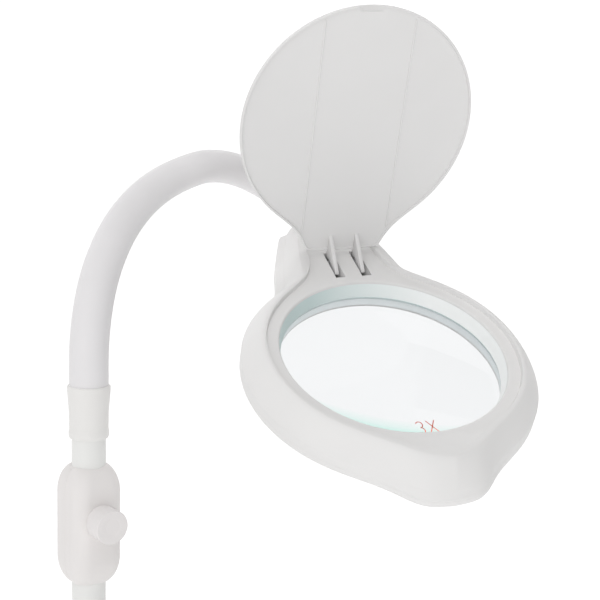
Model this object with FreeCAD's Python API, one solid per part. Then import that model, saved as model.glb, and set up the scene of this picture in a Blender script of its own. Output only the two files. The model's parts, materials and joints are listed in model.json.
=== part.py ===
import FreeCAD, Part
import math
import os

# Magnifying lamp with a lens cover, a flexible neck and a round weighted base.
# All lengths are in millimetres and all angles in degrees.
# World frame: +Z up, the pole's axis is x = y = 0, the floor is z = 0, the user sits on the -Y side.
# Head frame: x along the cover's hinge, y from the nose to the neck, z out of the face, lens centre at 0.

V = FreeCAD.Vector
ROT = FreeCAD.Rotation
X_AXIS = V(1, 0, 0)
Y_AXIS = V(0, 1, 0)
Z_AXIS = V(0, 0, 1)

# ---- driving dimensions -------------------------------------------------------------------------
LENS_RADIUS = 63.5          # five-inch lens
FACE_OPENING = 62.0         # radius of the opening at the face
SEAT_RADIUS = 60.0          # radius of the lip that the lens sits behind
LENS_EDGE = 3.0             # thickness of the lens at its rim
LENS_BULGE = 5.5            # height of each lens cap
LENS_TOP = -10.0            # upper side of the lens rim

RING_RADIUS = 81.0          # outside of the head around the lens
NOSE_END = -95.0            # front end of the head
NOSE_HALF = 21.0            # half width of the blunt nose
NECK_END = 124.0            # rear end of the head
NECK_ROOT_HALF = 41.0       # half width of the neck where it leaves the ring
NECK_END_HALF = 21.0        # half width of the neck at its rear end
RIM_TOP = 2.8               # the rim stands this far above the recessed face
SEAM = -16.0                # joint between the two head shells
HEAD_BOTTOM = -21.0
WALL = 2.4

COVER_RADIUS = 68.0         # round part of the lens cover
COVER_END = 77.4            # straight end of the cover, near its hinge
COVER_END_HALF = 20.5
COVER_SHEET = 1.6
COVER_LIP = 1.0             # height of the lip round the cover's inner face
COVER_RIB_X = 26.0          # two thin ribs on the cover's inner face
COVER_LIFT = 0.5            # gap between the closed cover and the recessed face
COVER_GAP = 0.8             # gap round the closed cover
COVER_OPEN = 97.0           # the cover stands open by this angle
POCKET_TIP = -77.5          # finger pocket in front of the cover's tip
POCKET_TIP_HALF = 10.0
POCKET_START = -50.0
POCKET_START_HALF = 46.0
HINGE_Y = 85.0
HINGE_Z = -3.0
HINGE_PIN_RADIUS = 1.5
ARM_X = 8.0                 # the cover's two hinge arms
ARM_THICKNESS = 2.4
SLOT_WIDTH = 7.0
SLOT_START = 67.5
SLOT_END = 91.5
SLOT_BOTTOM = -8.0
ROLL_OFF = 9.5              # rounding from the rim down to the side wall
BOTTOM_ROUNDING = 5.0
CHAMBER_RADIUS = 66.5       # outside of the chamber that holds the lens
CHAMBER_END = -15.8
GASKET_THICKNESS = 0.8
LIP_TOP = -8.0              # upper side of the lip that the lens sits behind
STRIP_HALF = 18.5           # recessed strip over the hinge
STRIP_END = 97.0
COVER_SWING = 1.2           # extra room behind the cover's straight end, which swings back as it opens
COVER_RIB_WIDTH = 1.0
NOTCH_HALF = 6.4            # thumb notch in the inner face at the cover's tip
NOTCH_INNER_HALF = 3.2
NOTCH_START = -64.8
NOTCH_DEPTH = 0.7
EYE_RADIUS = 3.4            # eyes of the cover's hinge arms
ARM_START = 69.0
LUG_HALF_SPAN = 15.6        # outer end of the lugs that hold the hinge pin
LUG_GAP = 3.6               # half the middle lug's length
LUG_OUTER_START = 12.2
LUG_BOTTOM = -6.5
LUG_TOP = -1.0

SCREW_PLACES = ((-13.0, -82.0), (13.0, -82.0), (-23.0, 96.0), (23.0, 96.0))
SCREW_RADIUS = 1.4
SCREW_TIP = -3.0
SCREW_HEAD_RADIUS = 2.8
SCREW_SEAT = -18.8          # height at which the screw heads rest
BOSS_RADIUS = 3.4
BUTTON_Y = 89.0             # switch button on the underside of the neck
BUTTON_RADIUS = 4.6
BUTTON_TRAVEL = 1.5
BUTTON_PROUD = 1.6
SWITCH_BOTTOM = -15.5
SWITCH_HALF = 6.0
DIFFUSER_OUTER = 73.0       # lit ring on the underside
DIFFUSER_INNER = 61.5
DIFFUSER_TOP = -19.2
BOARD_OUTER = 72.0
BOARD_INNER = 66.9
BOARD_BOTTOM = -17.4
BOARD_THICKNESS = 1.2
LED_COUNT = 36
LED_SIZE = 2.8
LED_CIRCLE = 69.2
LED_HEIGHT = 0.8

SLEEVE_RADIUS = 9.75        # flexible neck, over its sleeve
CORE_RADIUS = 6.5           # steel hose inside the sleeve
WIRE_RADIUS = 4.0           # wire passage
CUP_RADIUS = 10.05          # hollow that the next stretch's ball turns in
CUP_SETBACK = 6.0           # each cup ends this far before its joint
HOSE_PITCH = 29.6           # distance between two flex points
HOSE_FIRST = 339.0          # height of the first flex point
HOSE_TILT = (65, 43, 27, 17, 12, 9, -7, -27, -39)       # climb of each stretch of hose
HOSE_HEADING = (78, 75, 74, 73, 69, 62, 52, 23, -22)    # compass direction of each stretch, from +X

HEAD_YAW = 20.9             # the head's pose at rest
HEAD_PITCH = 29.4
HEAD_ROLL = -3.5
HEAD_JOINT = V(0, 135.4, -9.5)      # last flex point, in the head frame
STUB_INNER_END = 104.0      # the hose's last stub ends here inside the neck
FITTING_RADIUS = 6.8        # threaded fitting on the hose's end
WEB_START = 101.0           # wall across the neck that holds the hose
WEB_END = 108.0

POLE_RADIUS = 8.5
POLE_BORE = 7.3
POLE_RUNNING_GAP = 0.05
COLLAR_BOTTOM = 286.7
COLLAR_TOP = 313.2
TUBE_TOP = 299.5
BLOCK_LOW = 211.5
BLOCK_HIGH = 273.5
BLOCK_HALF_WIDTH = 13.0
BLOCK_HALF_DEPTH = 15.0
BLOCK_CORNER = 8.0
BLOCK_CROWN = 7.4
SPLIT_GAP = 0.15            # each half of the block ends this far from the split plane
NUT_DEPTH = 5.0
NUT_SETBACK = 7.0           # from the back of the block to the nut's near side
NUT_ACROSS = 5.2            # from the nut's centre to its corners
KNOB_DIRECTION = -53.0      # compass direction of the clamp knob, from +X
KNOB_HEIGHT = 246.5
KNOB_RADIUS = 8.7
KNOB_LENGTH = 13.0
BOLT_RADIUS = 3.0
BOLT_GAP = 0.05
BOLT_REACH = 8.0            # length of the bolt inside the knob
KNOB_GAP = 0.4
WASHER_THICKNESS = 1.0
SOCKET_FLOOR_LOW = 238.0
SOCKET_FLOOR_HIGH = 254.0

BASE_RADIUS = 115.0
BASE_TOP = 24.0
BASE_BOSS_TOP = 36.0
BASE_WALL = 2.5
PAD_RADIUS = 107.0
PAD_HEIGHT = 3.0
PLATE_TOP = 5.0
WEIGHT_RADIUS = 104.0
WEIGHT_TOP = 15.0
BASE_SCREW_CIRCLE = 88.0
BASE_SCREW_RADIUS = 2.0
SOCKET_OUTER = 13.0
SOCKET_TOP = 30.0
INLET_HEIGHT = 11.0
INLET_RADIUS = 4.5
FAR = 200.0                 # reaches past every part of the head or the block


# ---- small helpers ------------------------------------------------------------------------------
def rod(radius, start, end):
    """A cylinder between two points."""
    return Part.makeCylinder(radius, (end - start).Length, start, end - start)


def disc(radius, low, high, x=0.0, y=0.0):
    """An upright cylinder between two heights."""
    return Part.makeCylinder(radius, high - low, V(x, y, low), Z_AXIS)


def ring(outer, inner, low, high):
    return disc(outer, low, high).cut(disc(inner, low - 1, high + 1))


def box(x0, x1, y0, y1, z0, z1):
    return Part.makeBox(x1 - x0, y1 - y0, z1 - z0, V(x0, y0, z0))


def turned(profile):
    """A solid of revolution about Z from (radius, height) corners."""
    corners = [V(radius, 0, height) for radius, height in profile]
    face = Part.Face(Part.makePolygon(corners + corners[:1]))
    return face.revolve(V(0, 0, 0), Z_AXIS, 360)


def polygon_face(corners):
    points = [V(x, y, 0) for x, y in corners]
    return Part.Face(Part.makePolygon(points + points[:1]))


def round_face(radius):
    return Part.Face(Part.Wire(Part.makeCircle(radius)))


def merged(faces):
    """One flat face from overlapping ones."""
    result = faces[0].multiFuse(faces[1:]).removeSplitter()
    return result.Faces[0]


def grown(face, distance):
    return Part.Face(face.OuterWire.makeOffset2D(distance))


def softened(face, hollow, corner):
    """Rounds the outline's hollows and then its corners."""
    filled = grown(grown(face, hollow), -hollow)
    return grown(grown(filled, -corner), corner)


def slab(face, low, high):
    placed = face.copy()
    placed.translate(V(0, 0, low))
    return placed.extrude(V(0, 0, high - low))


def moved(shape, matrix):
    placed = shape.copy()
    placed.transformShape(matrix)
    return placed


def edges_at(shape, height):
    """The edges that lie wholly at one height."""
    found = []
    for edge in shape.Edges:
        box_of_edge = edge.BoundBox
        if abs(box_of_edge.ZMin - height) < 0.01 and abs(box_of_edge.ZMax - height) < 0.01:
            found.append(edge)
    return found


# ---- places -------------------------------------------------------------------------------------
def direction(tilt, heading):
    """A unit vector from its climb and its compass direction."""
    level = math.cos(math.radians(tilt))
    east = math.cos(math.radians(heading))
    north = math.sin(math.radians(heading))
    return V(level * east, level * north, math.sin(math.radians(tilt)))


def flex_points():
    """The points at which the flexible neck bends, from the collar to the head."""
    points = [V(0, 0, HOSE_FIRST)]
    for tilt, heading in zip(HOSE_TILT, HOSE_HEADING):
        points.append(points[-1] + direction(tilt, heading) * HOSE_PITCH)
    return points


def head_rotation():
    turn = ROT(Z_AXIS, HEAD_YAW).multiply(ROT(X_AXIS, HEAD_PITCH))
    return turn.multiply(ROT(Y_AXIS, HEAD_ROLL))


def head_placement():
    """Puts a shape from the head frame into the world frame."""
    turn = head_rotation()
    origin = flex_points()[-1] - turn.multVec(HEAD_JOINT)
    return FreeCAD.Placement(origin, turn)


def knob_axis():
    return direction(0, KNOB_DIRECTION)


# ---- head ---------------------------------------------------------------------------------------
def head_outline():
    """Teardrop with a blunt nose and a tapering neck."""
    nose_root = RING_RADIUS * math.sin(math.radians(45))
    nose = polygon_face([(-nose_root, -nose_root), (-NOSE_HALF, NOSE_END), (NOSE_HALF, NOSE_END),
                         (nose_root, -nose_root), (0, 0)])
    neck = polygon_face([(-NECK_ROOT_HALF, 60), (NECK_ROOT_HALF, 60), (NECK_ROOT_HALF - 2, 78),
                         (NECK_END_HALF, NECK_END), (-NECK_END_HALF, NECK_END),
                         (2 - NECK_ROOT_HALF, 78)])
    return softened(merged([round_face(RING_RADIUS), nose, neck]), 14, 14)


def cover_outline():
    end = polygon_face([(-27, 58), (27, 58), (COVER_END_HALF, COVER_END),
                        (-COVER_END_HALF, COVER_END)])
    return softened(merged([round_face(COVER_RADIUS), end]), 14, 5)


def recess_outline():
    """The cover's outline with a gap round it, the strip over the hinge and the finger pocket."""
    strip = polygon_face([(-STRIP_HALF, 60), (STRIP_HALF, 60), (STRIP_HALF, STRIP_END),
                          (-STRIP_HALF, STRIP_END)])
    swing_half = COVER_END_HALF + COVER_GAP
    swing_end = COVER_END + COVER_GAP + COVER_SWING
    swing = polygon_face([(-27, 58), (27, 58), (swing_half, swing_end), (-swing_half, swing_end)])
    pocket = polygon_face([(-POCKET_START_HALF, POCKET_START), (-POCKET_TIP_HALF, POCKET_TIP),
                           (POCKET_TIP_HALF, POCKET_TIP), (POCKET_START_HALF, POCKET_START)])
    return merged([grown(cover_outline(), COVER_GAP), strip, swing, pocket])


def head_body():
    """The head's outer form, before it is hollowed."""
    form = slab(head_outline(), HEAD_BOTTOM, RIM_TOP)
    form = form.makeFillet(ROLL_OFF, edges_at(form, RIM_TOP))
    return form.makeFillet(BOTTOM_ROUNDING, edges_at(form, HEAD_BOTTOM))


def head_cavity():
    """The hollow inside both shells, outside the lens chamber."""
    hollow = slab(grown(head_outline(), -WALL), HEAD_BOTTOM + WALL, -WALL)
    hollow = hollow.makeFillet(4.0, edges_at(hollow, HEAD_BOTTOM + WALL))
    web = box(-40, 40, WEB_START, WEB_END, HEAD_BOTTOM, 0)
    return hollow.cut(disc(CHAMBER_RADIUS, HEAD_BOTTOM, 0)).cut(web)


def hose_seat():
    """The stepped bore that the hose's stub and fitting fill in the neck."""
    stub = rod(SLEEVE_RADIUS, V(0, STUB_INNER_END, HEAD_JOINT.z), V(0, 140, HEAD_JOINT.z))
    return stub.fuse(rod(FITTING_RADIUS, V(0, WEB_START - 1, HEAD_JOINT.z),
                         V(0, STUB_INNER_END, HEAD_JOINT.z)))


def hinge_lugs():
    """Three lugs that hold the hinge pin, between and beside the slots."""
    spans = ((-LUG_GAP, LUG_GAP), (LUG_OUTER_START, LUG_HALF_SPAN), (-LUG_HALF_SPAN, -LUG_OUTER_START))
    return [box(x0, x1, HINGE_Y - 5, HINGE_Y + 5, LUG_BOTTOM, LUG_TOP) for x0, x1 in spans]


def head_top_shell():
    below = box(-FAR, FAR, -FAR, FAR, -FAR, SEAM)
    shell = head_body().cut(below).cut(head_cavity())
    seat = LENS_TOP + GASKET_THICKNESS
    shell = shell.cut(slab(recess_outline(), 0, FAR))
    shell = shell.cut(disc(CHAMBER_RADIUS, -FAR, seat + 0.2))
    chamber = ring(CHAMBER_RADIUS, LENS_RADIUS + 0.2, CHAMBER_END, seat)
    lip = ring(CHAMBER_RADIUS, SEAT_RADIUS, seat, LIP_TOP)
    bosses = [disc(BOSS_RADIUS, SEAM, LUG_TOP, x, y) for x, y in SCREW_PLACES]
    shell = shell.multiFuse([chamber, lip] + bosses + hinge_lugs())
    opening = Part.makeCone(SEAT_RADIUS, FACE_OPENING, -seat, V(0, 0, seat))
    shell = shell.cut(opening).cut(disc(FACE_OPENING, 0, FAR))
    bore_end = LUG_HALF_SPAN + 0.1
    shell = shell.cut(rod(HINGE_PIN_RADIUS, V(-bore_end, HINGE_Y, HINGE_Z),
                          V(bore_end, HINGE_Y, HINGE_Z)))
    for side in (-1, 1):
        middle = side * ARM_X
        shell = shell.cut(box(middle - SLOT_WIDTH / 2, middle + SLOT_WIDTH / 2,
                              SLOT_START, SLOT_END, SLOT_BOTTOM, 1))
    for x, y in SCREW_PLACES:
        shell = shell.cut(disc(SCREW_RADIUS, SEAM - 1, SCREW_TIP, x, y))
    return shell.cut(hose_seat()).removeSplitter()


def head_bottom_shell():
    above = box(-FAR, FAR, -FAR, FAR, SEAM, FAR)
    shell = head_body().cut(above).cut(head_cavity())
    shell = shell.cut(disc(CHAMBER_RADIUS + 0.2, -FAR, 0))
    shell = shell.cut(disc(BOARD_OUTER, -FAR, HEAD_BOTTOM + WALL + 1))
    shell = shell.cut(disc(DIFFUSER_OUTER, -FAR, DIFFUSER_TOP))
    bosses = [disc(BOSS_RADIUS, HEAD_BOTTOM + 1.5, SEAM, x, y) for x, y in SCREW_PLACES]
    ledge = ring(BOARD_OUTER + 4, BOARD_OUTER - 0.7, HEAD_BOTTOM + WALL - 0.2, BOARD_BOTTOM)
    shell = shell.multiFuse(bosses + [ledge])
    for x, y in SCREW_PLACES:
        shell = shell.cut(disc(SCREW_RADIUS + 0.2, -FAR, 0, x, y))
        shell = shell.cut(disc(SCREW_HEAD_RADIUS + 0.2, -FAR, SCREW_SEAT, x, y))
    shell = shell.cut(disc(BUTTON_RADIUS + 0.3, -FAR, SEAM + 1, 0, BUTTON_Y))
    return shell.cut(hose_seat()).removeSplitter()


def head_screws():
    screws = []
    for x, y in SCREW_PLACES:
        head = disc(SCREW_HEAD_RADIUS, HEAD_BOTTOM + 0.6, SCREW_SEAT, x, y)
        shank = disc(SCREW_RADIUS, SCREW_SEAT, SCREW_TIP - 0.5, x, y)
        drive = box(x - 1.8, x + 1.8, y - 0.4, y + 0.4, HEAD_BOTTOM, HEAD_BOTTOM + 1.4)
        screws.append(head.fuse(shank).cut(drive))
    return Part.makeCompound(screws)


def lens():
    """Double-convex lens with a flat mounting rim."""
    clear = SEAT_RADIUS + 0.3
    curve = (clear ** 2 + LENS_BULGE ** 2) / (2 * LENS_BULGE)
    rim = disc(LENS_RADIUS, LENS_TOP - LENS_EDGE, LENS_TOP)
    core = disc(clear, LENS_TOP - LENS_EDGE - 8, LENS_TOP + 8)
    upper = Part.makeSphere(curve, V(0, 0, LENS_TOP + LENS_BULGE - curve))
    lower = Part.makeSphere(curve, V(0, 0, LENS_TOP - LENS_EDGE - LENS_BULGE + curve))
    return rim.fuse(core.common(upper).common(lower)).removeSplitter()


def lens_gasket():
    return ring(LENS_RADIUS - 0.3, SEAT_RADIUS + 0.6, LENS_TOP, LENS_TOP + GASKET_THICKNESS)


def lens_retaining_ring():
    low = LENS_TOP - LENS_EDGE - 2.5
    return ring(LENS_RADIUS + 0.1, SEAT_RADIUS + 1.0, low, LENS_TOP - LENS_EDGE)


def led_board():
    return ring(BOARD_OUTER - 0.1, BOARD_INNER, BOARD_BOTTOM, BOARD_BOTTOM + BOARD_THICKNESS)


def led_chips():
    half = LED_SIZE / 2
    chips = []
    for index in range(LED_COUNT):
        chip = box(-half, half, LED_CIRCLE - half, LED_CIRCLE + half,
                   BOARD_BOTTOM - LED_HEIGHT, BOARD_BOTTOM)
        chip.rotate(V(0, 0, 0), Z_AXIS, 360.0 * (index + 0.5) / LED_COUNT)
        chips.append(chip)
    return Part.makeCompound(chips)


def light_diffuser():
    """Frosted ring that closes the lit side round the lens."""
    return ring(DIFFUSER_OUTER - 0.1, DIFFUSER_INNER, HEAD_BOTTOM + 0.2, DIFFUSER_TOP)


def driver_board():
    return box(-22, 22, 77, 83.5, HEAD_BOTTOM + WALL, HEAD_BOTTOM + WALL + 1.6)


def switch_body():
    return box(-SWITCH_HALF, SWITCH_HALF, BUTTON_Y - SWITCH_HALF, BUTTON_Y + SWITCH_HALF,
               SWITCH_BOTTOM, SLOT_BOTTOM - 0.5)


def switch_button():
    cap = disc(BUTTON_RADIUS, HEAD_BOTTOM - BUTTON_PROUD, HEAD_BOTTOM + 2.0, 0, BUTTON_Y)
    cap = cap.makeFillet(0.8, edges_at(cap, HEAD_BOTTOM - BUTTON_PROUD))
    stem = disc(1.5, HEAD_BOTTOM + 2.0, SWITCH_BOTTOM - 0.1 - BUTTON_TRAVEL, 0, BUTTON_Y)
    return cap.fuse(stem)


def hinge_pin():
    end = LUG_HALF_SPAN - 0.2
    return rod(HINGE_PIN_RADIUS, V(-end, HINGE_Y, HINGE_Z), V(end, HINGE_Y, HINGE_Z))


def hose_end_fitting():
    """Threaded sleeve at the end of the hose, inside the neck."""
    inside = V(0, STUB_INNER_END - 8, HEAD_JOINT.z)
    outside = V(0, STUB_INNER_END, HEAD_JOINT.z)
    return rod(FITTING_RADIUS, inside, outside).cut(rod(WIRE_RADIUS, inside, outside))


def hose_lock_nut():
    """Hexagonal nut that pulls the fitting against the wall across the neck."""
    inside = V(0, WEB_START - 4, HEAD_JOINT.z)
    outside = V(0, WEB_START, HEAD_JOINT.z)
    across = 10.5
    corners = []
    for index in range(6):
        angle = math.radians(60 * index + 30)
        corners.append(V(across * math.cos(angle), inside.y, inside.z + across * math.sin(angle)))
    face = Part.Face(Part.makePolygon(corners + corners[:1]))
    blank = face.extrude(outside - inside)
    limit = box(-30, 30, 80, 120, HEAD_BOTTOM + WALL, -WALL)
    return blank.common(limit).cut(rod(FITTING_RADIUS, inside, outside))


# ---- lens cover, drawn closed and then opened ---------------------------------------------------
def lens_cover():
    outline = cover_outline()
    low = COVER_LIFT + COVER_LIP
    sheet = slab(outline, low, low + COVER_SHEET)
    lip = slab(outline, COVER_LIFT, low).cut(slab(grown(outline, -1.2), 0, low + 1))
    inside_lip = slab(grown(outline, -0.6), 0, low)
    half = COVER_RIB_WIDTH / 2
    ribs = [box(x - half, x + half, -60, ARM_START, low - 0.6, low).common(inside_lip)
            for x in (-COVER_RIB_X, COVER_RIB_X)]
    arms = [hinge_arm(side * ARM_X) for side in (-1, 1)]
    cover = sheet.multiFuse([lip] + ribs + arms).removeSplitter()
    notch = polygon_face([(-NOTCH_HALF, -COVER_RADIUS - 1), (NOTCH_HALF, -COVER_RADIUS - 1),
                          (NOTCH_INNER_HALF, NOTCH_START), (-NOTCH_INNER_HALF, NOTCH_START)])
    cover = cover.cut(slab(notch, 0, low + NOTCH_DEPTH))
    for side in (-1, 1):
        bore = rod(HINGE_PIN_RADIUS + 0.06, V(side * ARM_X - 5, HINGE_Y, HINGE_Z),
                   V(side * ARM_X + 5, HINGE_Y, HINGE_Z))
        cover = cover.cut(bore)
    return opened(cover)


def hinge_arm(middle):
    """One tapering arm from the cover's inner face to the hinge pin."""
    start = middle - ARM_THICKNESS / 2
    low = COVER_LIFT + COVER_LIP
    corners = [V(start, ARM_START, low + 0.5), V(start, ARM_START, low),
               V(start, HINGE_Y - 2, HINGE_Z - EYE_RADIUS + 0.6), V(start, HINGE_Y, HINGE_Z),
               V(start, HINGE_Y, HINGE_Z + EYE_RADIUS), V(start, HINGE_Y - 6, low + 0.5)]
    web = Part.Face(Part.makePolygon(corners + corners[:1])).extrude(V(ARM_THICKNESS, 0, 0))
    knuckle = rod(EYE_RADIUS, V(start, HINGE_Y, HINGE_Z), V(start + ARM_THICKNESS, HINGE_Y, HINGE_Z))
    return web.fuse(knuckle)


def opened(shape):
    swung = shape.copy()
    swung.rotate(V(0, HINGE_Y, HINGE_Z), X_AXIS, -COVER_OPEN)
    return swung


# ---- flexible neck ------------------------------------------------------------------------------
def layer(inner, outer, start, end, ball, cup):
    """A tube between two flex points, with a ball at its start or a cup at its end."""
    length = (end - start).Length

    def ball_height(radius):
        return -math.sqrt(SLEEVE_RADIUS ** 2 - radius ** 2) if ball else 0.0

    def cup_height(radius):
        return length - math.sqrt(CUP_RADIUS ** 2 - radius ** 2) if cup else length

    middle = (inner + outer) / 2
    rim = min(outer, math.sqrt(CUP_RADIUS ** 2 - CUP_SETBACK ** 2)) if cup else outer
    low = [V(inner, 0, ball_height(inner)), V(middle, 0, ball_height(middle)),
           V(outer, 0, ball_height(outer))]
    cup_middle = (inner + rim) / 2
    high = [V(rim, 0, cup_height(rim)), V(cup_middle, 0, cup_height(cup_middle)),
            V(inner, 0, cup_height(inner))]
    edges = [Part.Arc(*low).toShape() if ball else Part.makeLine(low[0], low[2])]
    corner = V(outer, 0, high[0].z)
    edges.append(Part.makeLine(low[2], corner))
    if rim < outer:
        edges.append(Part.makeLine(corner, high[0]))
    edges.append(Part.Arc(*high).toShape() if cup else Part.makeLine(high[0], high[2]))
    edges.append(Part.makeLine(high[2], low[0]))
    tube = Part.Face(Part.Wire(edges)).revolve(V(0, 0, 0), Z_AXIS, 360)
    turn = FreeCAD.Placement(start, ROT(Z_AXIS, end - start))
    return moved(tube, turn.toMatrix())


def hose_stretch(start, end, ball, cup):
    """One stretch of hose, as its steel core and its sleeve."""
    core = layer(WIRE_RADIUS, CORE_RADIUS, start, end, ball, cup)
    sleeve = layer(CORE_RADIUS, SLEEVE_RADIUS, start, end, ball, cup)
    return core, sleeve


def hose_nodes():
    nodes = {}
    points = flex_points()
    bottom = V(0, 0, TUBE_TOP + 0.5)
    core, sleeve = hose_stretch(bottom, points[0], False, True)
    nodes["gooseneck_core_root"] = core
    nodes["gooseneck_sleeve_root"] = sleeve
    for index in range(len(points) - 1):
        core, sleeve = hose_stretch(points[index], points[index + 1], True, True)
        nodes["gooseneck_core_%d" % (index + 1)] = core
        nodes["gooseneck_sleeve_%d" % (index + 1)] = sleeve
    inner_end = head_placement().multVec(V(0, STUB_INNER_END, HEAD_JOINT.z))
    core, sleeve = hose_stretch(points[-1], inner_end, True, False)
    nodes["gooseneck_core_end"] = core
    nodes["gooseneck_sleeve_end"] = sleeve
    return nodes


def gooseneck_collar():
    """Moulded ferrule with a bead at each end."""
    low = COLLAR_BOTTOM
    high = COLLAR_TOP
    profile = [(POLE_RADIUS, low), (9.4, low), (10.1, low + 1.2), (10.1, low + 3.0),
               (9.8, low + 4.2), (9.8, low + 12), (10.3, high - 4.5), (10.8, high - 2.8),
               (10.8, high - 1.4), (10.2, high), (SLEEVE_RADIUS, high),
               (SLEEVE_RADIUS, TUBE_TOP + 0.5), (POLE_RADIUS, TUBE_TOP + 0.5)]
    return turned(profile)


# ---- pole and clamp block -----------------------------------------------------------------------
def pole_upper_tube():
    return ring(POLE_RADIUS, POLE_BORE, SOCKET_FLOOR_HIGH + WASHER_THICKNESS, TUBE_TOP)


def pole_lower_tube():
    return ring(POLE_RADIUS, POLE_BORE, PLATE_TOP + 1.0, SOCKET_FLOOR_LOW)


def block_form():
    """Pill-shaped block, drawn with its knob side towards -Y and turned into place."""
    corner = BLOCK_CORNER
    plan = polygon_face([(-BLOCK_HALF_WIDTH, -BLOCK_HALF_DEPTH), (BLOCK_HALF_WIDTH, -BLOCK_HALF_DEPTH),
                         (BLOCK_HALF_WIDTH, BLOCK_HALF_DEPTH), (-BLOCK_HALF_WIDTH, BLOCK_HALF_DEPTH)])
    form = slab(grown(grown(plan, -corner), corner), BLOCK_LOW, BLOCK_HIGH)
    for height in (BLOCK_LOW, BLOCK_HIGH):
        form = form.makeFillet(BLOCK_CROWN, edges_at(form, height))
    return form


def facing_knob(shape):
    """Turns a shape drawn with the knob towards -Y to the knob's real direction."""
    turned_shape = shape.copy()
    turned_shape.rotate(V(0, 0, 0), Z_AXIS, KNOB_DIRECTION + 90)
    return turned_shape


def clamp_half(front):
    """One half of the block: the front one faces the knob, the rear one holds the nut."""
    form = block_form()
    if front:
        form = form.cut(box(-FAR, FAR, -SPLIT_GAP, FAR, 0, 2 * FAR))
    else:
        form = form.cut(box(-FAR, FAR, -FAR, SPLIT_GAP, 0, 2 * FAR))
        form = form.cut(nut_blank(BLOCK_HALF_DEPTH - NUT_SETBACK, BLOCK_HALF_DEPTH + 1.0))
    form = form.cut(disc(POLE_RADIUS, BLOCK_LOW - 1, SOCKET_FLOOR_LOW))
    form = form.cut(disc(POLE_RADIUS + POLE_RUNNING_GAP, SOCKET_FLOOR_HIGH, BLOCK_HIGH + 1))
    bolt_hole = rod(BOLT_RADIUS + 0.3, V(0, -FAR, KNOB_HEIGHT), V(0, FAR, KNOB_HEIGHT))
    return facing_knob(form.cut(bolt_hole))


def nut_blank(near, far):
    """Hexagonal prism on the bolt's axis."""
    corners = []
    for index in range(6):
        angle = math.radians(60 * index)
        corners.append(V(NUT_ACROSS * math.cos(angle), near, KNOB_HEIGHT + NUT_ACROSS * math.sin(angle)))
    return Part.Face(Part.makePolygon(corners + corners[:1])).extrude(V(0, far - near, 0))


def clamp_nut():
    near = BLOCK_HALF_DEPTH - NUT_SETBACK
    blank = nut_blank(near, near + NUT_DEPTH)
    hole = rod(BOLT_RADIUS, V(0, 0, KNOB_HEIGHT), V(0, FAR, KNOB_HEIGHT))
    return facing_knob(blank.cut(hole))


def clamp_nut_cap():
    """Plug that covers the nut's pocket in the back of the block."""
    near = BLOCK_HALF_DEPTH - NUT_SETBACK + NUT_DEPTH
    return facing_knob(nut_blank(near, BLOCK_HALF_DEPTH - 0.2))


def clamp_bolt():
    start = V(0, -BLOCK_HALF_DEPTH - BOLT_REACH, KNOB_HEIGHT)
    end = V(0, BLOCK_HALF_DEPTH - 2.4, KNOB_HEIGHT)
    return facing_knob(rod(BOLT_RADIUS - BOLT_GAP, start, end))


def clamp_knob():
    near = -BLOCK_HALF_DEPTH - KNOB_GAP
    far = near - KNOB_LENGTH
    body = rod(KNOB_RADIUS, V(0, near, KNOB_HEIGHT), V(0, far, KNOB_HEIGHT))
    outer = [edge for edge in body.Edges if abs(edge.BoundBox.YMin - far) < 0.01]
    outer = [edge for edge in outer if abs(edge.BoundBox.YMax - far) < 0.01]
    body = body.makeFillet(1.0, outer)
    bolt = rod(BOLT_RADIUS - BOLT_GAP, V(0, -BLOCK_HALF_DEPTH - BOLT_REACH, KNOB_HEIGHT),
               V(0, near + 1, KNOB_HEIGHT))
    return facing_knob(body.cut(bolt))


def swivel_washer():
    return ring(POLE_RADIUS - 0.1, POLE_BORE, SOCKET_FLOOR_HIGH,
                SOCKET_FLOOR_HIGH + WASHER_THICKNESS - POLE_RUNNING_GAP)


# ---- base ---------------------------------------------------------------------------------------
def base_screw_places():
    return [ROT(Z_AXIS, angle).multVec(V(BASE_SCREW_CIRCLE, 0, 0)) for angle in (45, 135, 225, 315)]


def base_cover():
    """Low domed cover with a boss for the pole."""
    rim = BASE_RADIUS
    wall = BASE_WALL
    outer = [(rim - 2.0, PAD_HEIGHT), (rim, PAD_HEIGHT + 3), (rim, 12), (rim - 2.5, 16),
             (rim - 9, 18.5), (30, BASE_TOP), (19, 26.0), (15.5, 29), (14.5, BASE_BOSS_TOP)]
    inner = [(POLE_RADIUS, BASE_BOSS_TOP), (POLE_RADIUS, SOCKET_TOP), (SOCKET_OUTER, SOCKET_TOP),
             (SOCKET_OUTER, 22.5), (28, 21.5), (rim - 9, 16), (rim - wall, 13),
             (rim - wall, PAD_HEIGHT)]
    shell = turned(outer + inner)
    hole = rod(INLET_RADIUS, V(0, rim - 20, INLET_HEIGHT), V(0, rim + 5, INLET_HEIGHT))
    return shell.cut(hole)


def base_weight():
    """Iron disc that keeps the lamp upright."""
    plate = ring(WEIGHT_RADIUS, SOCKET_OUTER, PLATE_TOP + 0.5, WEIGHT_TOP)
    for place in base_screw_places():
        plate = plate.cut(disc(BASE_SCREW_RADIUS, 0, FAR, place.x, place.y))
    return plate.cut(box(-9, 9, BASE_RADIUS - 24, BASE_RADIUS, 0, 40))


def base_bottom_plate():
    plate = disc(BASE_RADIUS - BASE_WALL - 0.1, PAD_HEIGHT, PLATE_TOP)
    for place in base_screw_places():
        plate = plate.cut(disc(BASE_SCREW_RADIUS, 0, FAR, place.x, place.y))
    return plate


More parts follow.
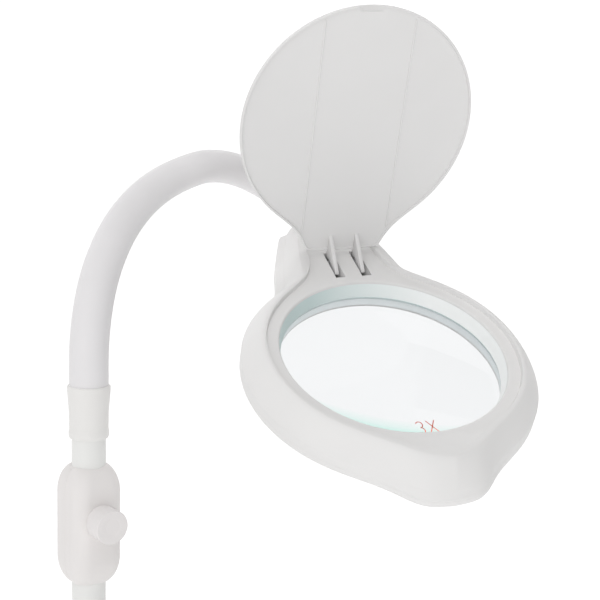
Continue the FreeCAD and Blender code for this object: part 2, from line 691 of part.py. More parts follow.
def base_screws():
    screws = []
    for place in base_screw_places():
        head = disc(3.6, PAD_HEIGHT - 1.6, PAD_HEIGHT, place.x, place.y)
        shank = disc(BASE_SCREW_RADIUS, PAD_HEIGHT, WEIGHT_TOP - 1, place.x, place.y)
        drive = box(place.x - 2.2, place.x + 2.2, place.y - 0.5, place.y + 0.5, 0, PAD_HEIGHT - 0.8)
        screws.append(head.fuse(shank).cut(drive))
    return Part.makeCompound(screws)


def base_pad():
    """Non-slip pad under the whole base, with holes over the screws."""
    pad = disc(PAD_RADIUS, 0, PAD_HEIGHT)
    pad = pad.makeFillet(0.8, edges_at(pad, 0))
    for place in base_screw_places():
        pad = pad.cut(disc(4.4, -1, PAD_HEIGHT + 1, place.x, place.y))
    return pad


def pole_socket():
    """Steel socket welded to the weight, which the pole screws into."""
    flange = ring(SOCKET_OUTER, 6.0, PLATE_TOP, PLATE_TOP + 1.0)
    sleeve = ring(SOCKET_OUTER, POLE_RADIUS, PLATE_TOP + 1.0, SOCKET_TOP)
    return flange.fuse(sleeve).removeSplitter()


def dc_inlet():
    """Round socket for the power adapter's plug, at the back of the base."""
    front = V(0, BASE_RADIUS - 0.3, INLET_HEIGHT)
    back = V(0, BASE_RADIUS - 14, INLET_HEIGHT)
    barrel = rod(INLET_RADIUS, back, front)
    bore = rod(2.8, V(0, BASE_RADIUS - 11, INLET_HEIGHT), V(0, BASE_RADIUS, INLET_HEIGHT))
    pin = rod(1.0, back, V(0, BASE_RADIUS - 2, INLET_HEIGHT))
    return barrel.cut(bore).fuse(pin)


# ---- assembly -----------------------------------------------------------------------------------
HEAD_PARTS = (head_top_shell, head_bottom_shell, head_screws, lens, lens_gasket, lens_retaining_ring,
              led_board, led_chips, light_diffuser, driver_board, switch_body, switch_button,
              hinge_pin, hose_end_fitting, hose_lock_nut, lens_cover)
STAND_PARTS = (gooseneck_collar, pole_upper_tube, pole_lower_tube, clamp_nut, clamp_nut_cap, clamp_bolt,
               clamp_knob, swivel_washer, base_cover, base_weight, base_bottom_plate, base_screws,
               base_pad, pole_socket, dc_inlet)


def all_nodes():
    nodes = {}
    placement = head_placement().toMatrix()
    for make in HEAD_PARTS:
        nodes[make.__name__] = moved(make(), placement)
    for make in STAND_PARTS:
        nodes[make.__name__] = make()
    nodes["clamp_front_shell"] = clamp_half(True)
    nodes["clamp_rear_shell"] = clamp_half(False)
    nodes.update(hose_nodes())
    return nodes


def main():
    os.makedirs("parts", exist_ok=True)
    for name, shape in all_nodes().items():
        shape.exportStep("parts/%s.step" % name)


if __name__ == "__main__":
    main()
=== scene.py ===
"""Looks of the magnifying lamp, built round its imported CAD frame. Shapes are drawn in millimetres and
turned into metres as they are made. The studio, the noise scales and the bump depths are in metres."""
import json
import math

import bmesh
import bpy
import numpy as np
from mathutils import Matrix, Vector


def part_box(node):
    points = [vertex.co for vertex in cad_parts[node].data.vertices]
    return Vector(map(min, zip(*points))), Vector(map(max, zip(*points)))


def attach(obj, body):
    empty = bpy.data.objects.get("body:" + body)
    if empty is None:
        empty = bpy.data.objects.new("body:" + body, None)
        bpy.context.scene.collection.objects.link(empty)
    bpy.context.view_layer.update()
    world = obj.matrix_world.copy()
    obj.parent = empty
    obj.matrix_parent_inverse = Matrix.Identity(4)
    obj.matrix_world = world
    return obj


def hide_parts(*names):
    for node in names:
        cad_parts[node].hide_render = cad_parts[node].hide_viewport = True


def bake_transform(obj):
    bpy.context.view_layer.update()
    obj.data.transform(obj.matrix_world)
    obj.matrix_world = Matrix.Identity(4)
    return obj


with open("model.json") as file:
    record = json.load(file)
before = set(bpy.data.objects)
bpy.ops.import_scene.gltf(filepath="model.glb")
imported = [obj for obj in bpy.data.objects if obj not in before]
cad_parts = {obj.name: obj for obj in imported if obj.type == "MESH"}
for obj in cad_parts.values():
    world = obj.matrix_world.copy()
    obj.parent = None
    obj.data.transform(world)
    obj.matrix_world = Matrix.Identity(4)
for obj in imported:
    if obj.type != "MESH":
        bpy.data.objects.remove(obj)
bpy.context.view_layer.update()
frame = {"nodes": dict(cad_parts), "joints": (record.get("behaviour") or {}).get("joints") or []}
JOINTS = {joint["name"]: joint for joint in frame["joints"]}
NODES = frame["nodes"]
MM = 0.001

# ---- places read from the frame -----------------------------------------------------------------
HINGE_Y = 85.0              # the cover's hinge in the head frame
HINGE_Z = -3.0
COVER_OPEN = math.radians(JOINTS["cover_hinge"]["range_deg"][1])


def head_matrix():
    """From the head frame in millimetres (x hinge, y nose to neck, z out of the face) to the world."""
    across = Vector(JOINTS["cover_hinge"]["axis"]).normalized()
    out = Vector(JOINTS["switch_press"]["axis"]).normalized()
    along = out.cross(across)
    hinge = Vector(JOINTS["cover_hinge"]["pos_m"])
    origin = hinge - along * HINGE_Y * MM - out * HINGE_Z * MM
    turn = Matrix((across, along, out)).transposed().to_4x4()
    return Matrix.Translation(origin) @ turn @ Matrix.Scale(MM, 4)


HEAD = head_matrix()
OPENING = (Matrix.Translation((0, HINGE_Y, HINGE_Z)) @ Matrix.Rotation(-COVER_OPEN, 4, "X")
           @ Matrix.Translation((0, -HINGE_Y, -HINGE_Z)))
WORLD_MM = Matrix.Scale(MM, 4)
KNOB_AXIS = Vector(JOINTS["clamp_knob_turn"]["axis"]).normalized()
KNOB_SEAT = Vector(JOINTS["clamp_knob_turn"]["pos_m"])


# ---- mesh helpers -------------------------------------------------------------------------------
def make_object(name, points, faces, matrix, sharp=35.0):
    """A smooth-shaded mesh object from points in millimetres."""
    mesh = bpy.data.meshes.new(name)
    mesh.from_pydata([tuple(point) for point in points], [], faces)
    mesh.transform(matrix)
    mesh.validate()
    mesh.update()
    obj = bpy.data.objects.new(name, mesh)
    bpy.context.scene.collection.objects.link(obj)
    tidy_normals(obj)
    shade(obj, sharp)
    return obj


def tidy_normals(obj):
    """Merges doubled points, such as those at the tip of a lathed profile, and turns all faces outward."""
    work = bmesh.new()
    work.from_mesh(obj.data)
    bmesh.ops.remove_doubles(work, verts=work.verts, dist=1e-7)
    bmesh.ops.recalc_face_normals(work, faces=work.faces)
    work.to_mesh(obj.data)
    work.free()


def shade(obj, sharp=35.0):
    obj.data.polygons.foreach_set("use_smooth", [True] * len(obj.data.polygons))
    obj.data.set_sharp_from_angle(angle=math.radians(sharp))


def band_faces(rows, columns, closed):
    """Quads between loops of points; closed joins the last loop to the first."""
    faces = []
    for row in range(rows if closed else rows - 1):
        upper = (row + 1) % rows
        for column in range(columns):
            beside = (column + 1) % columns
            faces.append((row * columns + column, row * columns + beside,
                          upper * columns + beside, upper * columns + column))
    return faces


def loops_object(name, loops, matrix, closed=False, capped=False, sharp=35.0):
    """A mesh from loops of points, each an array of the same length."""
    grid = np.array(loops)
    rows, columns = grid.shape[:2]
    faces = band_faces(rows, columns, closed)
    points = grid.reshape(-1, 3)
    if capped:
        faces.append(tuple(range(columns)))
        faces.append(tuple((rows - 1) * columns + column for column in range(columns)))
    return make_object(name, points, faces, matrix, sharp)


def rounded(corners, steps=6):
    """A closed profile from (radius, height, fillet) corners, with an arc at each filleted one."""
    profile = []
    count = len(corners)
    for index, (x, y, fillet) in enumerate(corners):
        corner = np.array((x, y), float)
        before = np.array(corners[index - 1][:2], float) - corner
        after = np.array(corners[(index + 1) % count][:2], float) - corner
        if fillet <= 0:
            profile.append(corner)
            continue
        before /= np.hypot(*before)
        after /= np.hypot(*after)
        half = math.acos(np.clip(before @ after, -1, 1)) / 2
        reach = fillet / math.tan(half)
        start = corner + before * reach
        stop = corner + after * reach
        for step in range(steps + 1):
            t = step / steps
            weight = (1 - t) ** 2, 2 * t * (1 - t), t ** 2
            profile.append(weight[0] * start + weight[1] * corner + weight[2] * stop)
    return profile


def lathe(name, profile, matrix, segments=128, closed=True, sharp=35.0):
    """Turns a profile of (radius, height) about Z."""
    angles = np.linspace(0, 2 * math.pi, segments, endpoint=False)
    loops = []
    for radius, height in profile:
        loops.append(np.stack([radius * np.cos(angles), radius * np.sin(angles),
                               np.full(segments, height)], 1))
    return loops_object(name, loops, matrix, closed=closed, sharp=sharp)


def block(low, high, bevel, matrix, name="block"):
    """A box with softened edges, from its low and high corners in millimetres."""
    work = bmesh.new()
    bmesh.ops.create_cube(work, size=1.0)
    size = Vector(high) - Vector(low)
    centre = (Vector(high) + Vector(low)) / 2
    bmesh.ops.transform(work, matrix=Matrix.Translation(centre) @ Matrix.Diagonal((*size, 1)),
                        verts=work.verts)
    if bevel > 0:
        bmesh.ops.bevel(work, geom=work.edges[:], offset=bevel, segments=3, affect="EDGES", profile=0.5)
    return finished(work, name, matrix)


def plate(outline, thickness, bevel, matrix, name="plate"):
    """A flat plate in the yz plane, from (y, z) corners, centred on x = 0."""
    work = bmesh.new()
    near = [work.verts.new((-thickness / 2, y, z)) for y, z in outline]
    face = work.faces.new(near)
    swept = bmesh.ops.extrude_face_region(work, geom=[face])
    moved = [item for item in swept["geom"] if isinstance(item, bmesh.types.BMVert)]
    bmesh.ops.translate(work, vec=(thickness, 0, 0), verts=moved)
    if bevel > 0:
        bmesh.ops.bevel(work, geom=work.edges[:], offset=bevel, segments=2, affect="EDGES", profile=0.5)
    return finished(work, name, matrix)


def finished(work, name, matrix):
    """A smooth-shaded object from a bmesh in millimetres."""
    mesh = bpy.data.meshes.new(name)
    bmesh.ops.recalc_face_normals(work, faces=work.faces)
    work.to_mesh(mesh)
    work.free()
    mesh.transform(matrix)
    obj = bpy.data.objects.new(name, mesh)
    bpy.context.scene.collection.objects.link(obj)
    shade(obj)
    return obj


def join(main, others):
    """Adds the other pieces' meshes to the main piece."""
    work = bmesh.new()
    work.from_mesh(main.data)
    for other in others:
        work.from_mesh(other.data)
        bpy.data.objects.remove(other)
    work.to_mesh(main.data)
    work.free()
    shade(main)
    return main


def carve(obj, cutters):
    """Cuts closed pieces out of a closed piece."""
    for cutter in cutters:
        modifier = obj.modifiers.new("carve", "BOOLEAN")
        modifier.operation = "DIFFERENCE"
        modifier.solver = "EXACT"
        modifier.object = cutter
    bpy.context.view_layer.update()
    graph = bpy.context.evaluated_depsgraph_get()
    carved = bpy.data.meshes.new_from_object(obj.evaluated_get(graph))
    obj.modifiers.clear()
    obj.data = carved
    for cutter in cutters:
        bpy.data.objects.remove(cutter)
    shade(obj)
    return obj


def place(obj, body, material, *nodes):
    """Gives a finished piece its material, its body and the CAD nodes that it stands for."""
    obj.data.materials.clear()
    obj.data.materials.append(material)
    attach(obj, body)
    if nodes:
        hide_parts(*nodes)
    return obj


# ---- materials ----------------------------------------------------------------------------------
class Shader:
    """A Principled material with its node tree and short calls to add to it."""

    def __init__(self, name, roughness, specular=0.5, metallic=0.0):
        self.material = bpy.data.materials.new(name)
        self.material.use_nodes = True
        self.tree = self.material.node_tree
        self.surface = self.tree.nodes["Principled BSDF"]
        self.surface.inputs["Roughness"].default_value = roughness
        self.surface.inputs["Specular IOR Level"].default_value = specular
        self.surface.inputs["Metallic"].default_value = metallic
        self.place = self.tree.nodes.new("ShaderNodeTexCoord").outputs["Object"]

    def node(self, kind, **inputs):
        made = self.tree.nodes.new(kind)
        for key, value in inputs.items():
            made.inputs[key.replace("_", " ")].default_value = value
        return made

    def link(self, source, target):
        self.tree.links.new(source, target)

    def noise(self, scale, detail=4.0, rough=0.55, stretch=None):
        """Noise over the piece's own coordinates; scale is in bumps per metre."""
        made = self.node("ShaderNodeTexNoise", Scale=scale, Detail=detail, Roughness=rough)
        source = self.place
        if stretch:
            mapping = self.node("ShaderNodeMapping")
            mapping.inputs["Scale"].default_value = stretch
            self.link(source, mapping.inputs["Vector"])
            source = mapping.outputs["Vector"]
        self.link(source, made.inputs["Vector"])
        return made.outputs["Fac"]

    def spread(self, source, low, high, start=0.3, stop=0.7):
        made = self.node("ShaderNodeMapRange")
        for key, value in (("From Min", start), ("From Max", stop), ("To Min", low), ("To Max", high)):
            made.inputs[key].default_value = value
        self.link(source, made.inputs["Value"])
        return made.outputs["Result"]

    def blend(self, source, first, second, start=0.3, stop=0.7):
        ramp = self.node("ShaderNodeValToRGB")
        ramp.color_ramp.elements[0].position = start
        ramp.color_ramp.elements[1].position = stop
        ramp.color_ramp.elements[0].color = (*first, 1)
        ramp.color_ramp.elements[1].color = (*second, 1)
        self.link(source, ramp.inputs["Fac"])
        return ramp.outputs["Color"]

    def distance(self, point):
        """Distance in metres from a point of the head frame."""
        made = self.node("ShaderNodeVectorMath")
        made.operation = "DISTANCE"
        made.inputs[1].default_value = HEAD @ Vector(point)
        self.link(self.place, made.inputs[0])
        return made.outputs["Value"]

    def colour(self, source):
        self.link(source, self.surface.inputs["Base Color"])

    def glow(self, strength, colour=None):
        self.surface.inputs["Emission Strength"].default_value = strength
        if colour:
            self.surface.inputs["Emission Color"].default_value = (*colour, 1)

    def roughness(self, source):
        self.link(source, self.surface.inputs["Roughness"])

    def bump(self, *layers):
        """Stacks bump layers, each (height, depth in metres)."""
        below = None
        for source, depth in layers:
            made = self.node("ShaderNodeBump", Strength=1.0, Distance=depth)
            self.link(source, made.inputs["Height"])
            if below:
                self.link(below, made.inputs["Normal"])
            below = made.outputs["Normal"]
        self.link(below, self.surface.inputs["Normal"])


def tinted(colour, factor):
    """The colour made lighter or darker."""
    return tuple(min(1.0, channel * factor) for channel in colour)


def moulded(name, colour, roughness=0.48, grain=2600.0, depth=0.000012, flow=0.000010):
    """Moulded plastic: fine spark-eroded grain, slow flow waves and a little colour drift."""
    shader = Shader(name, roughness, 0.28)
    cloud = shader.noise(9.0, 3.0)
    shader.colour(shader.blend(cloud, tinted(colour, 0.975), tinted(colour, 1.015)))
    handled = shader.noise(34.0, 5.0, 0.6)
    shader.roughness(shader.spread(handled, roughness - 0.05, roughness + 0.07))
    fine = shader.noise(grain, 2.0, 0.5)
    waves = shader.noise(60.0, 1.0, 0.4)
    shader.bump((waves, flow), (fine, depth))
    return shader.material


def translucent(name, colour, glow):
    """Milky plastic with a painted glow in its own colour, standing in for the light that passes through it.
    """
    shader = Shader(name, 0.55, 0.25)
    cloud = shader.noise(60.0, 4.0)
    shader.colour(shader.blend(cloud, tinted(colour, 0.95), tinted(colour, 1.03)))
    shader.roughness(shader.spread(shader.noise(140.0), 0.48, 0.62))
    shader.bump((shader.noise(1500.0, 2.0), 0.00001))
    # painted glow: emission stands in for light passing through the plastic
    shader.glow(glow, colour)
    return shader.material


def soft_rubber(name, colour, roughness=0.5):
    """Smooth silicone sleeve: satin, with faint rubbed patches and dust-fine grain."""
    shader = Shader(name, roughness, 0.25)
    cloud = shader.noise(22.0, 4.0)
    shader.colour(shader.blend(cloud, tinted(colour, 0.97), tinted(colour, 1.01)))
    patches = shader.noise(75.0, 6.0, 0.65)
    shader.roughness(shader.spread(patches, roughness - 0.06, roughness + 0.09))
    fine = shader.noise(3600.0, 2.0)
    swell = shader.noise(110.0, 2.0)
    shader.bump((swell, 0.00002), (fine, 0.000008))
    shader.surface.inputs["Sheen Weight"].default_value = 0.08
    return shader.material


def painted(name, colour):
    """Powder coat on a steel tube: slight orange peel and a harder gloss."""
    shader = Shader(name, 0.42, 0.28)
    cloud = shader.noise(14.0, 3.0)
    shader.colour(shader.blend(cloud, tinted(colour, 0.98), tinted(colour, 1.01)))
    peel = shader.noise(900.0, 2.0, 0.5)
    shader.roughness(shader.spread(shader.noise(40.0, 4.0), 0.38, 0.48))
    shader.bump((peel, 0.000014))
    return shader.material


def steel(name, colour, roughness=0.32, stretch=(1, 1, 30)):
    """Machined or plated steel with drawn lines and slight staining."""
    shader = Shader(name, roughness, 0.5, 1.0)
    stain = shader.noise(160.0, 5.0)
    shader.colour(shader.blend(stain, tinted(colour, 0.86), tinted(colour, 1.06)))
    lines = shader.noise(1500.0, 3.0, 0.6, stretch)
    shader.roughness(shader.spread(lines, roughness - 0.08, roughness + 0.12))
    shader.bump((lines, 0.000008))
    return shader.material


def cast_iron(name):
    """Dark cast iron with a rough sand-cast skin."""
    shader = Shader(name, 0.62, 0.4, 0.75)
    skin = shader.noise(420.0, 8.0, 0.7)
    shader.colour(shader.blend(skin, (0.045, 0.046, 0.05), (0.1, 0.1, 0.105)))
    shader.roughness(shader.spread(skin, 0.5, 0.8))
    shader.bump((skin, 0.0003))
    return shader.material


def foam(name):
    """Dark closed-cell foam rubber."""
    shader = Shader(name, 0.85, 0.25)
    cells = shader.node("ShaderNodeTexVoronoi", Scale=1400.0)
    shader.link(shader.place, cells.inputs["Vector"])
    shader.colour(shader.blend(cells.outputs["Distance"], (0.012, 0.012, 0.013), (0.03, 0.03, 0.032), 0, 0.7))
    shader.roughness(shader.spread(shader.noise(90.0), 0.75, 0.92))
    shader.bump((cells.outputs["Distance"], 0.0002))
    return shader.material


def frosted(name, colour):
    """Frosted acrylic over the lights: prismatic dots and light through it."""
    shader = Shader(name, 0.55)
    dots = shader.node("ShaderNodeTexVoronoi", Scale=900.0)
    shader.link(shader.place, dots.inputs["Vector"])
    shader.colour(shader.blend(dots.outputs["Distance"], tinted(colour, 1.0), tinted(colour, 0.92), 0, 0.8))
    shader.roughness(shader.spread(shader.noise(60.0), 0.5, 0.62))
    shader.bump((dots.outputs["Distance"], 0.00008))
    shader.surface.inputs["Transmission Weight"].default_value = 0.25
    return shader.material


def circuit(name, base, trace):
    """Printed board: solder mask with slightly lighter traces."""
    shader = Shader(name, 0.4)
    tracks = shader.node("ShaderNodeTexBrick", Scale=420.0, Mortar_Size=0.12)
    shader.link(shader.place, tracks.inputs["Vector"])
    shader.colour(shader.blend(tracks.outputs["Fac"], base, trace, 0.2, 0.8))
    shader.roughness(shader.spread(shader.noise(250.0), 0.3, 0.5))
    shader.bump((tracks.outputs["Fac"], 0.00003))
    return shader.material


WHITE = (0.765, 0.758, 0.752)
M = {
    "shell": moulded("head_plastic", WHITE),
    "cover": moulded("cover_plastic", (0.745, 0.738, 0.734), 0.5, 3200.0, 0.00001, 0.00002),
    "sleeve": soft_rubber("sleeve_rubber", (0.765, 0.752, 0.760)),
    "collar": moulded("collar_plastic", (0.78, 0.77, 0.755), 0.45),
    "block": moulded("block_plastic", (0.775, 0.75, 0.74), 0.5, 1900.0, 0.00002),
    "knob": moulded("knob_plastic", (0.775, 0.75, 0.745), 0.5, 1900.0, 0.00002),
    "pole": painted("pole_paint", (0.785, 0.785, 0.77)),
    "base": moulded("base_plastic", WHITE, 0.48, 2200.0, 0.000016),
    "steel": steel("plated_steel", (0.62, 0.62, 0.64)),
    "iron": cast_iron("weight_iron"),
    "foam": foam("pad_foam"),
    "plate": painted("plate_paint", (0.16, 0.165, 0.17)),
    # gasket: pale grey-green, with a painted glow
    "gasket": translucent("gasket_rubber", (0.60, 0.67, 0.66), 0.42),
    "frost": frosted("diffuser_frost", (0.88, 0.88, 0.87)),
    "board": circuit("light_board", (0.82, 0.82, 0.80), (0.70, 0.70, 0.66)),
    "driver": circuit("driver_board", (0.02, 0.10, 0.045), (0.05, 0.20, 0.09)),
    "phosphor": moulded("led_phosphor", (0.85, 0.72, 0.22), 0.25),
    "black": moulded("black_plastic", (0.02, 0.02, 0.021), 0.4),
    "button": moulded("button_plastic", (0.50, 0.51, 0.52), 0.4),
    "nylon": moulded("washer_nylon", (0.75, 0.73, 0.66), 0.5),
    # lens holding ring: pale grey, with a painted glow
    "ring": translucent("ring_plastic_painted_glow", (0.62, 0.65, 0.655), 0.42),
}


# ---- polar outlines of the head, in millimetres and radians --------------------------------------
LIMB_SPAN = 1.22            # the nose and the neck shape the outline within this angle of their axes


def soft_max(first, second, reach):
    """The larger of two radii, blended where they differ by less than the reach."""
    close = np.maximum(reach - np.abs(first - second), 0) / reach
    return np.maximum(first, second) + close ** 2 * reach / 4


def soft_min(first, second, reach):
    """The smaller of two radii, with a corner rounded over the reach."""
    return (first + second - np.sqrt((first - second) ** 2 + reach ** 2)) / 2


def away(angles, axis):
    """How far each angle lies from an axis."""
    return np.abs((angles - axis + math.pi) % (2 * math.pi) - math.pi)


def edge(turn, foot, distance):
    """Polar radius of a straight edge whose nearest point lies at the angle foot; past it, it fades."""
    short = math.radians(foot) - turn
    return np.where(short > 0, distance / np.cos(np.maximum(short, 0)), distance * np.cos(short))


def end_line(turn, distance):
    """Polar radius of the straight end of the nose or the neck."""
    return distance / np.cos(np.minimum(turn, math.radians(75)))


def outline(angles, ring, nose, neck, hollow):
    """Polar radius of a ring with a blunt nose and a neck, seen from the lens centre.
    nose is (end, foot, distance, rounding), neck is (end, edges, rounding) and hollow is how far the
    nose and the neck blend into the ring."""
    front = away(angles, -math.pi / 2)
    rear = away(angles, math.pi / 2)
    end, foot, distance, corner = nose
    tip = soft_min(edge(front, foot, distance), end_line(front, end), corner)
    radius = soft_max(np.full(len(angles), float(ring)), np.where(front < LIMB_SPAN, tip, 0), hollow[0])
    end, edges, corner = neck
    tail = end_line(rear, end)
    for foot, distance in edges:
        tail = soft_min(tail, edge(rear, foot, distance), corner)
    return soft_max(radius, np.where(rear < LIMB_SPAN, tail, 0), hollow[1])


def recess(angles):
    """The foot of the step round the cover's recess."""
    return outline(angles, 68.7, (77.5, 37.4, 67.9, 3), (97, ((90, 19.6),), 3), (2, 50))


def crest(angles):
    """The highest line of the rim, where the rounded side starts."""
    return outline(angles, 70.0, (86, 50, 67.6, 18), (129, ((81, 40), (69, 58)), 4), (8, 10))


def waist(angles):
    """The foot of the rounded side, which is drawn in beside the nose and the neck."""
    return outline(angles, 81.0, (94.5, 50, 73.3, 8), (131, ((83, 45.0), (69, 64.6)), 3), (6, 12))


def skirt(angles):
    """The lowest outline, which is fuller than the waist in the hollows."""
    return outline(angles, 81.0, (96.1, 50, 74.7, 8), (132.5, ((81.6, 52.0), (69, 69.0)), 3), (7, 16))


def cover_edge(angles):
    """The lens cover's outline, lying closed in its recess."""
    return outline(angles, 68.0, (60, 45, 60, 5), (77.4, ((75, 41.6),), 3), (2, 18))


def even_angles(count, *curves):
    """Angles that space points evenly along the given outlines."""
    fine = np.linspace(0, 2 * math.pi, 14401)
    total = np.zeros(len(fine))
    for curve in curves:
        radius = curve(fine)
        x, y = radius * np.cos(fine), radius * np.sin(fine)
        total[1:] += np.cumsum(np.hypot(np.diff(x), np.diff(y)))
    return np.interp(np.linspace(0, total[-1], count, endpoint=False), total, fine)


def polar_loop(angles, radius, height):
    """A loop of points round the lens centre; radius and height are numbers or one value per angle."""
    radius = radius + np.zeros(len(angles))
    height = height + np.zeros(len(angles))
    return np.stack([radius * np.cos(angles), radius * np.sin(angles), height], 1)


# ---- head ---------------------------------------------------------------------------------------
RIM_TOP = 2.8               # the rim stands this far above the recess
WAIST_Z = -11.0             # foot of the rounded side
SEAM = -16.0                # joint between the two shells
SEAM_GAP = 0.015            # each shell ends this far from the joint
ROUNDING_TOP = -17.8        # the underside's rounding starts here
ROUNDING = 3.2
BOTTOM = -21.0
WALL = 2.4
SEAT_WALL = ((60.0, -9.2), (60.1, -9.0), (60.9, -5.0))      # wall above the lens, from its lip upward
SEAT_MOUTH = ((61.7, -1.1), (61.85, -0.55), (62.2, -0.15), (62.8, 0.0))
FLOOR_START = 63.0          # the recess floor starts at this radius
POCKET_START = 64.5         # the floor climbs to the rim in the finger pocket from here, over this length
POCKET_LENGTH = 12.5
ARM_X = 8.0                 # the cover's two hinge arms
SLOT_CENTRE = 79.5
SLOT_LENGTH = 24.0
LUGS = (-2.25, 2.65)        # the lugs beside each arm, from the arm's middle
DIFFUSER_RADIUS = 73.0
SCREW_PLACES = ((-13, -82), (13, -82), (-23, 96), (23, 96))
BUTTON_PLACE = (0, 89)
ANGLES = even_angles(620, recess, skirt)


def floor_height(x, y):
    """The recess floor, which rises to the rim in the finger pocket at the nose."""
    rise = np.clip((-y - POCKET_START) / POCKET_LENGTH, 0, 1)
    return RIM_TOP * rise * rise * (3 - 2 * rise)


def floor_loop(radius):
    loop = polar_loop(ANGLES, radius, 0)
    loop[:, 2] = floor_height(loop[:, 0], loop[:, 1])
    return loop


def bezier(start, first, second, stop, count):
    """Points along a cubic curve."""
    t = np.linspace(0, 1, count)[:, None]
    start, first, second, stop = (np.array(point, float) for point in (start, first, second, stop))
    return ((1 - t) ** 3 * start + 3 * t * (1 - t) ** 2 * first + 3 * t * t * (1 - t) * second
            + t ** 3 * stop)


def side_profile(count):
    """The rounded side as (share of the way out, share of the way down) from the crest to the waist."""
    return bezier((0, 0), (0.22, 0.0), (0.86, 0.64), (1, 1), count)


# Section of an arm's slot and of the lining of its sloping wall, as (across, up).
SLOT_SECTION = ((2.1, 6), (2.1, -7.5), (-1.6, -7.5), (-3.7, 0), (-3.7, 6))
SLOT_RAMP = ((-1.9, -7.4), (-2.5, -7.4), (-4.4, -0.3), (-3.75, -0.05))


def rim_loops(foot):
    """The recess floor and the step up to the rim, with a fine groove that fades out on the right."""
    loops = []
    start = FLOOR_START
    for share in np.linspace(0.06, 1, 14):
        loops.append(floor_loop(start + (foot - 0.5 - start) * share))
    floor = floor_height(foot * np.cos(ANGLES), foot * np.sin(ANGLES))
    drop = RIM_TOP - floor
    right = np.clip(np.cos(ANGLES - 0.3), 0, 1)
    for out, sink in ((-0.42, 0.06), (-0.3, 0.22), (-0.16, 0.16)):
        loops.append(polar_loop(ANGLES, foot + out, floor - sink * drop / RIM_TOP * (1 - right)))
    for out, rise in ((-0.08, 0.06), (0.0, 0.2), (0.06, 0.85), (0.2, 0.97), (0.5, 1.0)):
        loops.append(polar_loop(ANGLES, foot + out * (1 + 0.9 * right), floor + drop * rise))
    return loops


def head_top():
    """The upper shell, from the wall above the lens over the rim and down to the seam, then back inside."""
    foot = recess(ANGLES)
    top = np.maximum(crest(ANGLES), foot + 1.0)
    side = waist(ANGLES)
    low = np.maximum(skirt(ANGLES), side)
    loops = [polar_loop(ANGLES, radius, height) for radius, height in SEAT_WALL + SEAT_MOUTH]
    loops += rim_loops(foot)
    for out, down in side_profile(20):
        loops.append(polar_loop(ANGLES, top + (side - top) * out, RIM_TOP + (WAIST_Z - RIM_TOP) * down))
    for out, height in ((0.04, -11.5), (0.45, -13.0), (0.8, -14.3), (0.96, -15.0), (1.0, -15.6),
                        (1.0, -15.92)):
        loops.append(polar_loop(ANGLES, side + (low - side) * out, height))
    inner = [(low - 0.05, SEAM + SEAM_GAP), (low - WALL, SEAM + SEAM_GAP), (side - WALL, WAIST_Z),
             ((side + top) / 2 - WALL, -4.5), (np.maximum(top - WALL, 67.2), -2.6), (66.6, -2.6),
             (66.5, -15.8), (63.8, -15.8), (63.7, -9.2)]
    for radius, height in inner:
        loops.append(polar_loop(ANGLES, radius, height))
    shell = loops_object("head_top", loops, HEAD, closed=True, sharp=40)
    slots = []
    extras = []
    for arm in (-ARM_X, ARM_X):
        along = HEAD @ Matrix.Translation((arm, SLOT_CENTRE, 0)) @ Matrix.Rotation(math.pi / 2, 4, "Z")
        slots.append(plate(SLOT_SECTION, SLOT_LENGTH, 0.0, along))
        extras.append(plate(SLOT_RAMP, SLOT_LENGTH - 0.1, 0.1, along))
        for beside in LUGS:
            extras.append(block((arm + beside - 0.5, 79, -8), (arm + beside + 0.5, 91, -0.9), 0.2, HEAD))
    carve(shell, slots)
    join(shell, extras)
    return place(shell, "head", M["shell"], "head_top_shell")


def head_bottom():
    """The lower shell, from the seam round the underside to the diffuser's opening, then back inside."""
    low = np.maximum(skirt(ANGLES), waist(ANGLES))
    profile = [(low - 0.05, SEAM - SEAM_GAP), (low, SEAM - 0.08), (low, ROUNDING_TOP)]
    for turn in np.linspace(0, 90, 9)[1:]:
        angle = math.radians(turn)
        profile.append((low - ROUNDING * (1 - math.cos(angle)), ROUNDING_TOP - ROUNDING * math.sin(angle)))
    mouth = DIFFUSER_RADIUS
    start = mouth + 0.9
    profile += [(start + (low - ROUNDING - start) * share, BOTTOM) for share in (0.75, 0.5, 0.25, 0.0)]
    profile += [(mouth + 0.2, BOTTOM + 0.2), (mouth, BOTTOM + 0.6), (mouth, -19.2), (mouth - 1, -19.2),
                (mouth - 1, -18.6), (low - 6.5, -18.6), (low - 2.8, -17.4), (low - WALL, SEAM - SEAM_GAP)]
    loops = [polar_loop(ANGLES, radius, height) for radius, height in profile]
    shell = loops_object("head_bottom", loops, HEAD, closed=True, sharp=40)
    holes = [drilled(x, y, 3.1, -25, -18.8) for x, y in SCREW_PLACES]
    holes.append(drilled(*BUTTON_PLACE, 4.9, -25, -15))
    carve(shell, holes)
    return place(shell, "head", M["shell"], "head_bottom_shell")


def drilled(x, y, radius, low, high):
    """A closed cylinder that cuts a round hole through the underside."""
    profile = [(0.001, low), (radius, low), (radius, high), (0.001, high)]
    return lathe("drill", profile, HEAD @ Matrix.Translation((x, y, 0)), 48)


# ---- lens cover ---------------------------------------------------------------------------------
COVER_SHIFT = 0.6           # the cover rests against one side of its hinge
SHEET_LOW = 1.5             # inner and outer face of the closed cover
SHEET_HIGH = 3.1
SHEET_CROWN = 0.5
LIP_INSET = 1.35            # the lip round the inner face ends this far inside the edge
RIB_X = 26.0
RIB_HALF = 0.45
NOTCH_START = 64.2
NOTCH_HALF = 6.6
NOTCH_DEPTH = 0.75
# A hinge arm with its long gusset fin, as (y, z).
ARM_OUTLINE = ((68.3, 1.7), (68.7, 1.4), (84.4, -14.9), (85.3, -15.4), (86.3, -14.6), (87.6, -8.0),
               (88.2, -3.0), (86.8, 0.0), (84.2, 1.0), (80.5, 1.9))


